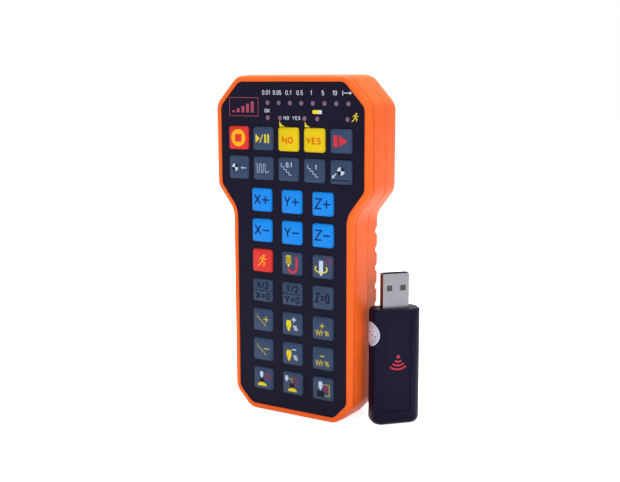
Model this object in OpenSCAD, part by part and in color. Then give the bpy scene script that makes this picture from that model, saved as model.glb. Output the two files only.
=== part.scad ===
// Hand-held wireless machine keypad with its plug-in radio receiver.
// Row frame: +Z up, the key face looks toward -Y, and Z = 0 is the flat bottom end.
// The layers of the keypad are given as a depth behind the front rim, 0 at the rim.

/* [Case] */
// From the outer key windows of the head to the side of the case
head_side = 6.95; // [6.5:0.05:7.5]
// From the outer key windows of the grip to the side of the case
grip_side = 8.95; // [8:0.05:10]
// How far below the top grip keys the grip starts to widen
waist_drop = 5.6; // [5:0.1:7]
// Height over which the grip widens to the head
waist_rise = 10.8; // [10:0.1:12]
// Height of the slanting corners at the foot
foot_rise = 8.5; // [7:0.5:9.5]
// Width of the slanting corners at the foot
foot_cut = 8.2; // [7:0.1:9]
// Height of the slanting corners at the crown
crown_rise = 12.3; // [11:0.1:13]
// Width of the slanting corners at the crown
crown_cut = 11.2; // [10:0.1:12]
// Radius of the convex outline corners
outline_r = 7; // [7:0.5:8]
// Radius of the hollow at the waist
waist_r = 8; // [7:0.5:9]
// Side wall thickness
wall = 2.2; // [2:0.1:2.6]
// Thickness of the back
back_t = 2; // [1.8:0.1:2.4]
// Depth of the parting line behind the rim
parting = 13.5; // [13:0.5:15]
// Radius of the rounded rim
rim_r = 1.5; // [1:0.1:1.8]
// Radius of the rounded rear edge
rear_r = 5; // [4:0.5:5.5]
// Width of the rim round the face
rim_w = 2.8; // [2.6:0.1:3.2]
// Height of the lap joint between the two shells
lap_h = 1.2; // [0.8:0.1:1.6]
// Clearance in the lap joint
lap_gap = 0.1; // [0.05:0.01:0.15]

/* [Face] */
// Depth of the printed face behind the rim
face_in = 0.4; // [0.2:0.1:0.6]
// Thickness of the printed face sheet
face_t = 0.5; // [0.3:0.1:0.6]
// Thickness of the front wall under the sheet
front_t = 2; // [1.8:0.1:2.4]
// Gap between the sheet and the rim
sheet_gap = 0.1; // [0.05:0.05:0.2]
// Gap between a key or a light and the face sheet
hole_gap = 0.2; // [0.15:0.05:0.25]

/* [Keys] */
// Width of a key
key_w = 10.3; // [9.8:0.1:10.6]
// Corner radius of a key
key_r = 1.2; // [1:0.1:1.6]
// Height of the keys above the printed face
key_proud = 0.8; // [0.6:0.1:1.4]
// Gap between a key and its window
key_gap = 0.3; // [0.25:0.05:0.4]
// Travel of a key
key_travel = 0.8; // [0.5:0.1:1]
// How far the flange of a key reaches past its window
flange_lap = 0.5; // [0.4:0.05:0.6]
// Thickness of the key flange
flange_t = 0.8; // [0.6:0.1:0.9]
// Web between the windows of the head, sideways
web_top = 2.05; // [1.9:0.05:2.4]
// Web between the windows of the grip, sideways
web_low = 4.6; // [3.8:0.1:5]
// Web between the two rows of the head
web_head = 2; // [1.8:0.05:2.4]
// Web between the head rows and the grip rows
web_waist = 3; // [2.2:0.1:4]
// Web between the rows of the grip
web_row = 2.6; // [2.2:0.1:3.2]
// Offset of the upper grid from the middle
top_shift = -0.7; // [-1:0.1:0]
// Offset of the lower grid from the middle
low_shift = 0.8; // [0:0.1:1.6]
// Height of the lowest windows above the foot
foot_margin = 9.85; // [9:0.05:12]
// Radius of the plunger behind a key
plunger_r = 2.2; // [1.8:0.1:2.5]

/* [Electronics] */
// Depth of the circuit board behind the rim
board_in = 6.2; // [6.1:0.1:6.6]
// Thickness of the circuit board
board_t = 1.6; // [1:0.1:1.6]
// Gap between the board edge and the case wall
board_gap = 0.8; // [0.5:0.1:1.2]
// Thickness of the keypad mat
mat_t = 1; // [0.8:0.1:1.1]
// Radius of an indicator light
led_r = 1.1; // [0.9:0.05:1.2]
// Radius of the rounded front edge of an indicator light
led_edge = 0.4; // [0.3:0.1:0.6]
// From the top windows up to the row of five lights
light_up = 3.55; // [3:0.05:5]
// Distance between the two rows of lights
light_rows = 6.4; // [6:0.1:8]
// From the row of eight lights up to the top of the case
crown_margin = 11.8; // [11.5:0.1:14]
// From the last of the eight lights to the side of the head
light_side = 10.79; // [10.5:0.01:11.2]
// Pitch of the eight lights
led_pitch = 5.69; // [5.6:0.01:5.75]
// Side of the microcontroller
chip_w = 12; // [10:0.5:14]
// Height of the crystal can
can_h = 3.4; // [3:0.1:4]
// Width of the radio module
module_w = 16; // [15:0.5:17]
// Length of the radio module
module_l = 26; // [24:0.5:27]

/* [Fasteners] */
// Radius of the screw bosses
boss_r = 2.2; // [2:0.1:2.3]
// Radius of the screw shank
screw_r = 1; // [0.8:0.05:1.1]
// Radius of the screw head
screw_head_r = 2; // [1.8:0.1:2.1]
// Gap round a screw head in its hole
screw_gap = 0.4; // [0.2:0.1:0.5]
// Radius of the posts in the rear shell
post_r = 3.3; // [3.2:0.1:3.6]
// Depth at which the case screw heads sit
screw_seat = 17; // [16:0.5:19]

/* [Battery bay] */
// Diameter of a cell
cell_d = 14.5; // [14.2:0.1:14.6]
// Length of a cell with its button
cell_l = 50.5; // [50:0.1:51]
// Gap between the two cells
cell_gap = 0.7; // [0.5:0.1:1]
// Gap between a cell and the bay
bay_gap = 0.35; // [0.3:0.05:0.4]
// Gap between the circuit board and the bay
bay_over = 0.55; // [0.4:0.05:1]
// Thickness of the floor of the bay
bay_skin = 0.8; // [0.8:0.1:1.2]
// Thickness of a contact plate
plate_t = 0.4; // [0.3:0.05:0.5]
// Length of a contact spring
spring_l = 5.8; // [5:0.1:7]
// Radius of a contact spring
spring_r = 3.6; // [3:0.1:4]
// Wire of a contact spring
wire_t = 0.8; // [0.6:0.1:1]
// Height of the bottom of the bay
bay_base = 22; // [21:0.5:23]
// Thickness of the bay walls
bay_wall = 1.2; // [1:0.1:1.4]
// Thickness of the battery door
door_t = 1.6; // [1.4:0.1:1.8]
// How far the door reaches past the bay on each side
door_lap = 1.4; // [1.2:0.1:1.8]
// Width of the catch of the door, between the cells
catch_w = 4; // [3:0.5:4]
// Width of the longest finger rib of the door
rib_w = 18; // [14:0.5:22]
// Pitch of the finger ribs of the door
rib_pitch = 2.4; // [2.2:0.1:2.6]
// Gap round the battery door
door_gap = 0.3; // [0.25:0.05:0.4]
// Radius of the door pins
pin_r = 0.45; // [0.4:0.05:0.5]
// Clearance round the door pins
pin_gap = 0.05; // [0.03:0.01:0.1]

/* [Grip notches] */
// Pitch of the finger notches
notch_pitch = 8.2; // [8:0.1:8.4]
// How far below the waist the top notch sits
notch_drop = 7.5; // [6:0.1:8]
// Radius of the notch cutter
notch_r = 1.8; // [1.4:0.1:2]
// Depth of a notch across the corner
notch_in = 1.7; // [1.2:0.1:2]
// Number of notches on each side
notch_count = 9; // [5:1:9]

/* [Receiver] */
// Width of the receiver body
stick_w = 21.8; // [20.4:0.2:22.4]
// Thickness of the receiver body
stick_t = 12; // [11.5:0.5:12.5]
// Height of the receiver body
stick_h = 51.3; // [48:0.5:54]
// Radius of the receiver body edges
stick_r = 4.8; // [4:0.1:5.2]
// Radius of the rounded foot of the receiver
stick_foot_r = 3; // [2:0.1:3.4]
// Radius of the rounded top edge of the receiver
stick_crown_r = 1; // [0.6:0.1:1.4]
// Depth of the sunk front panel of the receiver
panel_in = 0.4; // [0.2:0.1:0.6]
// Wall of the receiver body
stick_wall = 1.4; // [1.2:0.1:1.6]
// Side margin of the sunk front panel
panel_side = 5.15; // [4.8:0.05:5.6]
// Margin of the sunk front panel at the top
panel_top = 2.9; // [2.6:0.05:4]
// Margin of the sunk front panel at the foot
panel_foot = 6.4; // [5:0.05:7]
// Side of the receiver chip
stick_chip = 6; // [5:0.5:7]
// Gap between the grip and the receiver that stands beside it
stick_aside = 1.1; // [0.5:0.1:5]
// Front to back place of the receiver
stick_y = 4.6; // [2:0.1:6]
// Turn of the receiver on the table, 0 facing as the keys do
stick_turn = 46; // [42:0.1:48]
// Width of the plug shell
plug_w = 12; // [12:0.1:12.1]
// Thickness of the plug shell
plug_t = 4.5; // [4.5:0.1:4.6]
// Length of the plug shell outside the body
plug_l = 15.1; // [14.5:0.1:16]
// How deep the plug shell is held in the body
plug_in = 4.4; // [4:0.1:5]
// Sheet thickness of the plug shell
plug_wall = 0.3; // [0.25:0.05:0.35]
// Thickness of the tongue in the plug
tongue_t = 1.84; // [1.7:0.02:1.9]
// Diameter of the blank seal
seal_d = 10.6; // [10:0.1:10.8]
// Thickness of the blank seal
seal_t = 0.12; // [0.1:0.02:0.2]
// How far the seal sits above mid height
seal_up = 14.5; // [8:0.5:16]

/* [Hidden] */
$fn = 64;

slant = sqrt(0.5);

// The keys set the size of the case: rows up from the foot, columns out from the middle
window = key_w + 2 * key_gap;
row_pitch = window + web_row;
pitch_low = window + web_low;
pitch_top = window + web_top;
row_base = foot_margin + window / 2;
row_last = row_base + 6 * row_pitch;
row_second = row_last + window + web_waist;
row_top = row_second + window + web_head;
led_row_lo = row_top + window / 2 + light_up;
led_row_hi = led_row_lo + light_rows;
case_h = led_row_hi + crown_margin;
grip_half = low_shift + pitch_low + window / 2 + grip_side;
head_half = 2 * pitch_top - top_shift + window / 2 + head_side;
foot_half = grip_half - foot_cut;
crown_half = head_half - crown_cut;
crown_base = case_h - crown_rise;
waist_low = row_last - waist_drop;
waist_high = waist_low + waist_rise;

// The layers behind the rim, down to the back of the battery door
face_back = face_in + face_t;
front_back = face_back + front_t;
key_front = face_in - key_proud;
flange_in = front_back + 0.3;
flange_back = flange_in + flange_t;
flange_w = window + 2 * flange_lap;
plunger_end = board_in - key_travel - 0.2;
board_back = board_in + board_t;
bay_floor = board_back + bay_over + bay_skin;
cell_at = bay_floor + bay_gap + cell_d / 2;
door_in = cell_at + cell_d / 2 + 0.1 + door_gap;
case_t = door_in + door_t;
back_in = case_t - back_t;

// The outline of the case: right half from the foot to the crown, as [x, z, radius of
// the corner], negative where it is hollow, then the same mirrored
half_outline = [
  [foot_half, 0, outline_r], [grip_half, foot_rise, outline_r], [grip_half, waist_low, -waist_r],
  [head_half, waist_high, outline_r], [head_half, crown_base, outline_r], [crown_half, case_h, outline_r]
];
outline = concat(
  half_outline,
  [for (k = [len(half_outline) - 1:-1:0]) [-half_outline[k].x, half_outline[k].y, half_outline[k].z]]
);
corner_steps = 4;
function corner(i) = outline[(i + len(outline)) % len(outline)];
function heading(i) = let (v = [corner(i + 1).x - corner(i).x, corner(i + 1).y - corner(i).y]) v / norm(v);

// The stations of a rounded corner, as [centre, signed radius, angle of the outward normal]
function stations(i) =
  let (
    a = heading(i - 1),
    b = heading(i),
    turn = atan2(a.x * b.y - a.y * b.x, a * b),
    out = [a.y, -a.x],
    r = corner(i).z,
    start = [corner(i).x, corner(i).y] - a * r * tan(turn / 2),
    c = start - r * out
  )
  [for (k = [0:corner_steps]) [c, r, atan2(out.y, out.x) + turn * k / corner_steps]];
round_outline = [for (i = [0:len(outline) - 1]) each stations(i)];
function spot(s, grow) = s[0] + (s[1] + grow) * [cos(s[2]), sin(s[2])];

// Places of the keys and lights, as [x, z]
function top_key(c, z) = [top_shift + (c - 2) * pitch_top, z];
function low_key(c, r) = [low_shift + (c - 1) * pitch_low, row_base + (6 - r) * row_pitch];
top_keys = [for (z = [row_top, row_second], c = [0:4]) top_key(c, z)];
low_keys = [for (r = [0:6], c = [0:2]) low_key(c, r)];
keys = concat(top_keys, low_keys);
lights_hi = [for (i = [0:7]) [head_half - light_side - (7 - i) * led_pitch, led_row_hi]];
lights = concat(lights_hi, [for (x = [-11.6, -5.3, 7.1, 13.3, 27.8]) [x, led_row_lo]]);

// Places of the screws
foot_bolt = [foot_half - 2.3, 6.8];
waist_bolt = [grip_half - 3.5, waist_low + 8.3];
crown_bolt = [crown_half - 6.8, case_h - 6.3];
case_bolts = [for (b = [foot_bolt, waist_bolt, crown_bolt], side = [-1, 1]) [side * b[0], b[1]]];
board_bolts = [for (row = [2, 4.5], side = [-1, 1]) [side * (grip_half - 5.2), row_base + row * row_pitch]];
chips_up = row_second + 8.8;

// Battery bay
bay_l = cell_l + 2 * plate_t + spring_l;
bay_top = bay_base + bay_l;
bay_half = cell_d + cell_gap / 2 + bay_gap;
door_base = bay_base - door_lap;
door_top = bay_top + door_lap;
door_half = bay_half + door_lap;
pin_d = (door_in + case_t) / 2;
pin_z = door_base + door_t / 2;

// Stands a flat drawing up as the case stands: its x is X, its y is Z, its z is -Y
module upright() rotate([90, 0, 0]) translate([0, 0, case_t / 2]) children();

// A flat drawing as a layer from one depth to another
module layer(from, to) upright() translate([0, 0, -to]) linear_extrude(to - from) children();

// A profile, drawn as [outward, up], carried along steps of [turn, radius, straight run]
module walk(steps, i = 0) {
  t = steps[i][0];
  r = steps[i][1];
  run = steps[i][2];
  translate([-r, 0, 0]) rotate_extrude(angle = t) translate([r, 0]) children();
  translate([-r, 0, 0]) rotate(t) translate([r, run, 0]) {
    rotate([90, 0, 0]) linear_extrude(run) children();
    if (i < len(steps) - 1) walk(steps, i + 1) children();
  }
}

// A closed profile, drawn as [outward, -depth], carried all round the case outline
module around(profile) {
  n = len(profile);
  m = len(round_outline);
  upright() polyhedron(
    points = [for (s = round_outline, q = profile) [spot(s, q.x).x, spot(s, q.x).y, q.y]],
    faces = [
      for (j = [0:m - 1], i = [0:n - 1], half = [0, 1])
        let (a = j * n + i, b = j * n + (i + 1) % n, c = ((j + 1) % m) * n + (i + 1) % n, d = ((j + 1) % m) * n + i)
        half == 0 ? [a, c, b] : [a, d, c]
    ]
  );
}

// The case outline as a flat shape, grown outward by grow
module inside_case(grow) polygon([for (s = round_outline) spot(s, grow)]);

// Arc points of a quarter turn, from angle a to angle b
function arc(c, r, a, b, n) = [for (k = [0:n]) c + r * [cos(a + (b - a) * k / n), sin(a + (b - a) * k / n)]];

// Rectangle with rounded corners, as a polygon
module plate(w, h, r, n = 2) {
  x = w / 2 - r;
  y = h / 2 - r;
  polygon(concat(
    arc([x, y], r, 0, 90, n),
    arc([-x, y], r, 90, 180, n),
    arc([-x, -y], r, 180, 270, n),
    arc([x, -y], r, 270, 360, n)
  ));
}

// A rod along the depth, between two depths
module rod(at, r, from, to) translate([at[0], 0, at[1]]) layer(from, to) circle(r);

// ---- Keypad case ----

front_profile = concat(
  [[-5.5, -front_back - 0.1], [-5.5, 0]],
  arc([-0.3 - rim_r, -rim_r], rim_r, 90, 0, 4),
  [[-0.3, -2.9], [-0.65, -3.1], [-0.65, -3.4], [-0.2, -3.6], [0, -6.5], [0, 0.3 - parting], [-0.25, -parting]],
  [[-wall / 2, -parting], [-wall / 2, lap_h - parting], [-wall, lap_h - parting], [-wall, -front_back - 0.1]]
);

module front_shell() color("OrangeRed") difference() {
  union() {
    around(front_profile);
    layer(face_in, front_back) difference() {
      inside_case(-4.2);
      for (k = keys) translate(k) plate(window, window, key_r + key_gap);
      for (k = lights) translate(k) circle(led_r + 0.25);
    }
    for (p = case_bolts) rod(p, boss_r, front_back - 0.5, parting - 0.2);
    for (p = board_bolts) rod(p, boss_r, front_back - 0.5, board_in);
  }
  layer(-1, face_back) inside_case(-rim_w);
  for (p = case_bolts) rod(p, screw_r + 0.05, front_back - 0.6, parting);
  for (p = board_bolts) rod(p, screw_r + 0.05, front_back - 0.6, board_in + 1);
}

rear_profile = concat(
  [[-5, -back_in], [-wall - 0.2, 3.2 - back_in], [-wall, lap_h - lap_gap - parting]],
  [[-wall / 2 - lap_gap, lap_h - lap_gap - parting], [-wall / 2 - lap_gap, -parting]],
  [[-0.25, -parting], [0, -parting - 0.3]],
  arc([-rear_r, rear_r - case_t - 0.06], rear_r, 0, -90, 6),
  [[-rear_r - 0.4, -case_t - 0.3], [-6.3, -case_t - 0.3], [-6.3, -back_in]]
);

module bay_box(grow, from, to) {
  translate([0, 0, (bay_base + bay_top) / 2]) layer(from, to) square([2 * (bay_half + grow), bay_l + 2 * grow], center = true);
}

module rear_shell() color("OrangeRed") difference() {
  union() {
    around(rear_profile);
    layer(back_in - 0.1, case_t + 0.4) inside_case(-5.8);
    bay_box(bay_wall, bay_floor - bay_skin, back_in + 0.5);
    bay_box(bay_wall + 3, back_in - 1.2, back_in + 0.3);
    for (p = case_bolts) rod(p, post_r, parting, back_in + 0.5);
  }
  layer(case_t, case_t + 2) square(400, center = true);
  bay_box(0, bay_floor, case_t);
  translate([0, 0, (door_base + door_top) / 2]) layer(door_in - door_gap, case_t + 1)
    square([2 * (door_half + door_gap), door_top - door_base + 2 * door_gap], center = true);
  for (p = case_bolts) {
    rod(p, screw_r + 0.25, parting - 1, screw_seat + 1);
    rod(p, screw_head_r + screw_gap, screw_seat, case_t + 1);
  }
  translate([0, pin_d - case_t / 2, pin_z]) rotate([0, 90, 0])
    cylinder(r = pin_r + pin_gap, h = 2 * (door_half + 1.5), center = true);
  for (x = [-1, 1], i = [0:notch_count - 1]) notch(x, waist_low - notch_drop - i * notch_pitch);
  for (x = [-1, 1], z = [bay_base + plate_t / 2, bay_top - plate_t / 2])
    translate([x * (cell_d + cell_gap) / 2, 0, z]) layer(bay_floor - 2, bay_floor + 1) square([3.4, plate_t + 0.4], center = true);
}

// A short groove across the rear corner of the grip
module notch(x, z) {
  mid = rear_r * slant;
  at = [grip_half - rear_r + mid, case_t / 2 - rear_r + mid];
  out = (notch_r - notch_in) * slant;
  translate([x * (at[0] + out), at[1] + out, z]) rotate([0, 0, -x * 45]) rotate([0, 90, 0])
    cylinder(r = notch_r, h = 14, center = true);
}

module face_sheet() color("DarkSlateBlue") layer(face_in, face_back) difference() {
  inside_case(-rim_w - sheet_gap);
  for (k = keys) translate(k) plate(key_w + 2 * hole_gap, key_w + 2 * hole_gap, key_r + hole_gap);
  for (k = lights) translate(k) circle(led_r + hole_gap / 2);
}

// ---- Keys ----

// A key: a cap with soft edges, the flange behind the front wall and the plunger
module key(i, tint) color(tint) translate([keys[i][0], 0, keys[i][1]]) {
  edge = key_w - 2 * key_r;
  band = key_r - 0.05;
  upright() translate([key_w / 2, edge / 2, 0])
    walk([for (s = [0:3]) [90, key_r, edge]]) polygon([
      [-band, -flange_in - 0.1], [0, -flange_in - 0.1], [-0.05, -key_front - 0.55], [-0.2, -key_front - 0.2],
      [-0.55, -key_front], [-band, -key_front]
    ]);
  layer(key_front, flange_in + 0.1) plate(key_w - key_r, key_w - key_r, key_r / 2);
  layer(flange_in, flange_back) plate(flange_w, flange_w, 0.8);
  rod([0, 0], plunger_r, flange_back - 0.1, plunger_end);
}

// ---- Inside the keypad ----

module keypad_mat() color("LightGray") layer(board_in - mat_t, board_in) difference() {
  inside_case(-wall - board_gap - 2.5);
  for (k = keys) translate(k) circle(plunger_r + 0.4);
  for (k = lights) translate(k) circle(led_r + 0.6);
  for (p = concat(case_bolts, board_bolts)) translate(p) circle(boss_r + 0.3);
}

module circuit_board() color("DarkGreen") layer(board_in, board_back) difference() {
  inside_case(-wall - board_gap);
  for (p = case_bolts) translate(p) circle(boss_r + 0.3);
  for (p = board_bolts) translate(p) circle(screw_r + 0.15);
}

module indicator_lights() color("Pink") for (k = lights) translate([k[0], 0, k[1]])
  upright() translate([0, 0, -board_in]) rotate_extrude() polygon(concat(
    [[0, 0], [led_r + 0.35, 0], [led_r + 0.35, 0.8], [led_r, 0.8]],
    arc([led_r - led_edge, board_in - face_in - led_edge], led_edge, 0, 90, 3),
    [[0, board_in - face_in]]
  ));

module microcontroller() color("Black") translate([8, 0, chips_up]) {
  pitch = chip_w / 9.25;
  layer(board_back + 0.1, board_back + 1.5) plate(chip_w, chip_w, 0.6, 1);
  layer(board_back, board_back + 0.3) for (a = [0:90:270], i = [-3.5:3.5])
    rotate(a) translate([i * pitch, chip_w / 2 + 0.3]) square([0.4 * pitch, 1.4], center = true);
}

module crystal() color("Silver") translate([22.5, 0, chips_up]) layer(board_back, board_back + can_h)
  plate(4.6, 11, 2.25, 4);

// The radio module: a small board with a screening can and a printed aerial
// The radio module stands beside the grip wall
module_x = wall + 2.3 + module_w / 2 - grip_half;
module radio_module() color("Teal") translate([module_x, 0, chips_up]) {
  layer(board_back, board_back + 0.8) square([module_w, module_l], center = true);
  translate([0, 0, -4]) layer(board_back + 0.7, board_back + 2.8) plate(module_w - 2.5, module_l - 11.5, 0.5, 1);
  for (i = [-2:2]) translate([i * 2.6, 0, module_l / 2 - 4.5]) layer(board_back + 0.7, board_back + 0.85)
    square([0.7, 6], center = true);
}

module cell(s) {
  button = 1.2;
  translate([0, cell_at - case_t / 2, 0]) rotate([s > 0 ? 0 : 180, 0, 0]) {
    translate([0, 0, -cell_l / 2 + 0.05]) rotate_extrude() polygon([
      [0, 0], [cell_d / 2 - 0.6, 0], [cell_d / 2, 0.6], [cell_d / 2, cell_l - button - 0.7],
      [cell_d / 2 - 0.6, cell_l - button - 0.1], [2.75, cell_l - button - 0.1], [2.6, cell_l - 0.1], [0, cell_l - 0.1]
    ]);
  }
}

module battery_cells() color("SteelBlue") for (s = [-1, 1])
  translate([s * (cell_d + cell_gap) / 2, 0, (bay_base + bay_top) / 2 - s * spring_l / 2]) cell(-s);

module battery_springs() color("Silver") for (s = [-1, 1])
  translate([s * (cell_d + cell_gap) / 2, cell_at - case_t / 2, s > 0 ? bay_top - plate_t - spring_l + 0.05 : bay_base + plate_t])
    linear_extrude(spring_l - 0.1, twist = -1080, slices = 36, $fn = 6) polygon(concat(
      arc([0, 0], spring_r, 0, 150, 5),
      arc([0, 0], spring_r - wire_t, 150, 0, 5)
    ));

module battery_contacts() color("Silver") for (x = [-1, 1], z = [bay_base + plate_t / 2, bay_top - plate_t / 2])
  translate([x * (cell_d + cell_gap) / 2, 0, z]) {
    layer(cell_at - 5.5, cell_at + 4.5) square([11, plate_t], center = true);
    layer(board_back, cell_at) square([3, plate_t], center = true);
  }

module battery_door() color("OrangeRed") {
  mid = case_t / 2;
  translate([0, -mid, 0]) difference() {
    union() {
      rotate([90, 0, 90]) linear_extrude(2 * door_half, center = true) polygon(concat(
        arc([pin_d, pin_z], door_t / 2, 180, 360, 6),
        [[case_t, door_top], [door_in, door_top]]
      ));
      translate([0, pin_d, pin_z]) rotate([0, 90, 0]) cylinder(r = pin_r, h = 2 * (door_half + 1.2), center = true);
      translate([-catch_w / 2, door_in - 2.6, bay_top - 2.2]) cube([catch_w, 3, 1.6]);
    }
    for (i = [0:4]) translate([0, case_t + 0.6, door_top - (i + 2) * rib_pitch]) rotate([0, 90, 0])
      cylinder(r = 1, h = rib_w - i * rib_pitch, center = true);
  }
}

module case_screws() color("DimGray") for (p = case_bolts) {
  difference() {
    rod(p, screw_head_r, screw_seat, screw_seat + 1.6);
    translate([p[0], 0, p[1]]) layer(screw_seat + 0.7, screw_seat + 2) square([2.6, 0.7], center = true);
    translate([p[0], 0, p[1]]) layer(screw_seat + 0.7, screw_seat + 2) square([0.7, 2.6], center = true);
  }
  rod(p, screw_r, board_in, screw_seat);
}

module board_screws() color("DimGray") for (p = board_bolts) {
  difference() {
    rod(p, screw_head_r - 0.1, board_back, board_back + 1.2);
    translate([p[0], 0, p[1]]) layer(board_back + 0.5, board_back + 2) square([2.4, 0.6], center = true);
    translate([p[0], 0, p[1]]) layer(board_back + 0.5, board_back + 2) square([0.6, 2.4], center = true);
  }
  rod(p, screw_r, front_back + 0.4, board_back);
}

// ---- Receiver ----

// Stands the receiver at its place: its own front looks along -Y before the turn
stick_reach = (stick_w / 2 - stick_r) * cos(stick_turn) + (stick_t / 2 - stick_r) * sin(stick_turn) + stick_r;
stick_x = grip_half + stick_aside + stick_reach;
module beside() translate([stick_x, stick_y, 0]) rotate(stick_turn) children();

// The outline of the receiver body, as steps for walk, and a profile carried round it
stick_steps = [
  [90, stick_r, stick_w - 2 * stick_r], [90, stick_r, stick_t - 2 * stick_r],
  [90, stick_r, stick_w - 2 * stick_r], [90, stick_r, stick_t - 2 * stick_r]
];
module round_stick()
  translate([stick_w / 2, stick_t / 2 - stick_r, 0]) walk(stick_steps) children();

// One half of the moulded body; its top and foot edges are rounded
module stick_half(front) difference() {
  band = stick_r - 0.1;
  core = 2 * band - 0.8;
  union() {
    round_stick() polygon(concat(
      [[-band, stick_foot_r / 2], [-band, 0]],
      arc([-stick_foot_r, stick_foot_r], stick_foot_r, -90, 0, 5),
      arc([-stick_crown_r, stick_h - stick_crown_r], stick_crown_r, 0, 90, 4),
      [[-band, stick_h], [-band, stick_h - stick_wall], [-stick_wall, stick_h - stick_wall]],
      [[-stick_wall, stick_wall], [-band, stick_wall]]
    ));
    linear_extrude(stick_wall) plate(stick_w - core, stick_t - core, 0.4);
    translate([0, 0, stick_h - stick_wall]) linear_extrude(stick_wall) plate(stick_w - core, stick_t - core, 0.4);
  }
  translate([-stick_w, front ? -0.03 : 0.03 - stick_t, -1]) cube([2 * stick_w, stick_t, stick_h + 2]);
  translate([0, 0, stick_h - 3]) linear_extrude(5) square([plug_w + 0.1, plug_t + 0.1], center = true);
  if (front) translate([0, -stick_t / 2, (panel_foot + stick_h - panel_top) / 2]) rotate([90, 0, 0])
    translate([0, 0, -panel_in]) linear_extrude(2) plate(stick_w - 2 * panel_side, stick_h - panel_foot - panel_top, 1.2);
}

module receiver_front() color("DimGray") beside() stick_half(true);
module receiver_rear() color("DimGray") beside() stick_half(false);

module receiver_board() color("DarkGreen") beside() {
  translate([-stick_w / 2 + stick_wall + 0.4, 0.5, stick_wall + 1]) cube([stick_w - 2 * stick_wall - 0.8, 1, stick_h - 2 * stick_wall - 4]);
}

module receiver_chip() color("Black") beside() {
  translate([-stick_chip / 2, 1.5, stick_h / 2 - stick_chip * 0.6]) cube([stick_chip, 1, stick_chip]);
  translate([-stick_chip / 3, 1.5, stick_h / 2 - stick_chip * 2.3]) cube([stick_chip * 2 / 3, 1, stick_chip / 2]);
}

plug_base = stick_h - plug_in;
plug_top = stick_h + plug_l;
contact_l = plug_l + plug_in - 6.2;

module plug_shell() color("Silver") beside() translate([0, 0, plug_base]) difference() {
  linear_extrude(plug_top - plug_base) plate(plug_w, plug_t, 0.5);
  translate([0, 0, -1]) linear_extrude(plug_top - plug_base + 2) plate(plug_w - 2 * plug_wall, plug_t - 2 * plug_wall, 0.3);
  for (x = [-1, 1]) translate([x * 3, 0, plug_top - plug_base - 6.2]) cube([2.4, plug_t + 2, 2.4], center = true);
}

module plug_tongue() color("WhiteSmoke") beside() translate([0, 0, plug_base]) difference() {
  linear_extrude(plug_l + plug_in - 0.6) plate(plug_w - 2 * plug_wall - 0.04, plug_t - 2 * plug_wall - 0.04, 0.4);
  translate([-plug_w, plug_wall + 0.02 + tongue_t - plug_t / 2, 5]) cube([2 * plug_w, plug_t, plug_l + plug_in]);
}

module plug_contacts() color("Gold") beside() for (i = [-1.5:1:1.5])
  translate([i * 2.2 - 0.5, plug_wall + 0.02 + tongue_t - plug_t / 2, plug_base + 5])
    cube([1, 0.2, i == -1.5 || i == 1.5 ? contact_l : contact_l - 1]);

// The seal lies on the side face and bends round its corners
module receiver_seal() color("White") beside() intersection() {
  round_stick() translate([0, stick_h / 2 - seal_d / 2 + seal_up]) square([seal_t, seal_d]);
  translate([-stick_w, 0, stick_h / 2 + seal_up]) rotate([0, 90, 0]) cylinder(d = seal_d, h = stick_w / 2 + 3);
}

red = "Red";
gold = "Gold";
slate = "SlateGray";
blue = "DodgerBlue";
front_shell();
rear_shell();
face_sheet();
keypad_mat();
circuit_board();
indicator_lights();
microcontroller();
crystal();
radio_module();
battery_cells();
battery_springs();
battery_contacts();
battery_door();
case_screws();
board_screws();
key(0, red);  // key_stop
key(1, slate);  // key_start
key(2, gold);  // key_no
key(3, gold);  // key_yes
key(4, slate);  // key_reset
key(5, slate);  // key_home
key(6, slate);  // key_wave
key(7, slate);  // key_step_tenth
key(8, slate);  // key_step_one
key(9, slate);  // key_goto
key(10, blue);  // key_x_plus
key(11, blue);  // key_y_plus
key(12, blue);  // key_z_plus
key(13, blue);  // key_x_minus
key(14, blue);  // key_y_minus
key(15, blue);  // key_z_minus
key(16, red);  // key_run
key(17, slate);  // key_spindle
key(18, slate);  // key_tool
key(19, slate);  // key_half_x
key(20, slate);  // key_half_y
key(21, slate);  // key_zero_z
key(22, slate);  // key_step_up
key(23, slate);  // key_speed_up
key(24, slate);  // key_feed_up
key(25, slate);  // key_step_down
key(26, slate);  // key_speed_down
key(27, slate);  // key_feed_down
key(28, slate);  // key_probe_a
key(29, slate);  // key_probe_b
key(30, slate);  // key_probe_c
receiver_front();
receiver_rear();
receiver_board();
receiver_chip();
plug_shell();
plug_tongue();
plug_contacts();
receiver_seal();
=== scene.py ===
import math

import bmesh
import bpy
from mathutils import Matrix, Vector


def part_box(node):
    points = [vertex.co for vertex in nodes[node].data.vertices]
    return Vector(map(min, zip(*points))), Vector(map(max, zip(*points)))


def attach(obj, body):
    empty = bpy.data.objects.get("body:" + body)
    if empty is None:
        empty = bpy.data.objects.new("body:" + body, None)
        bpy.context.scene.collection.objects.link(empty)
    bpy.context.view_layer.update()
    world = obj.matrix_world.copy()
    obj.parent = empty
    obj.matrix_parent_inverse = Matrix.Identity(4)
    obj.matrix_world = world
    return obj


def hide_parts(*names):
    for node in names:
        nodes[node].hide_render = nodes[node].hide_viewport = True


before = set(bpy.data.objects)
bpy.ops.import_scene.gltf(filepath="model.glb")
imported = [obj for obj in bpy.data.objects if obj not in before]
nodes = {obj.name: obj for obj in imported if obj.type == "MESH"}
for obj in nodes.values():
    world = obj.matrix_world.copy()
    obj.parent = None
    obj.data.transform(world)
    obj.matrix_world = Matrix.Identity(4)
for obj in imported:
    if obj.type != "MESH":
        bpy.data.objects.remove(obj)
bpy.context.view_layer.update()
scene = bpy.context.scene
scene.view_settings.view_transform = "Standard"

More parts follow.
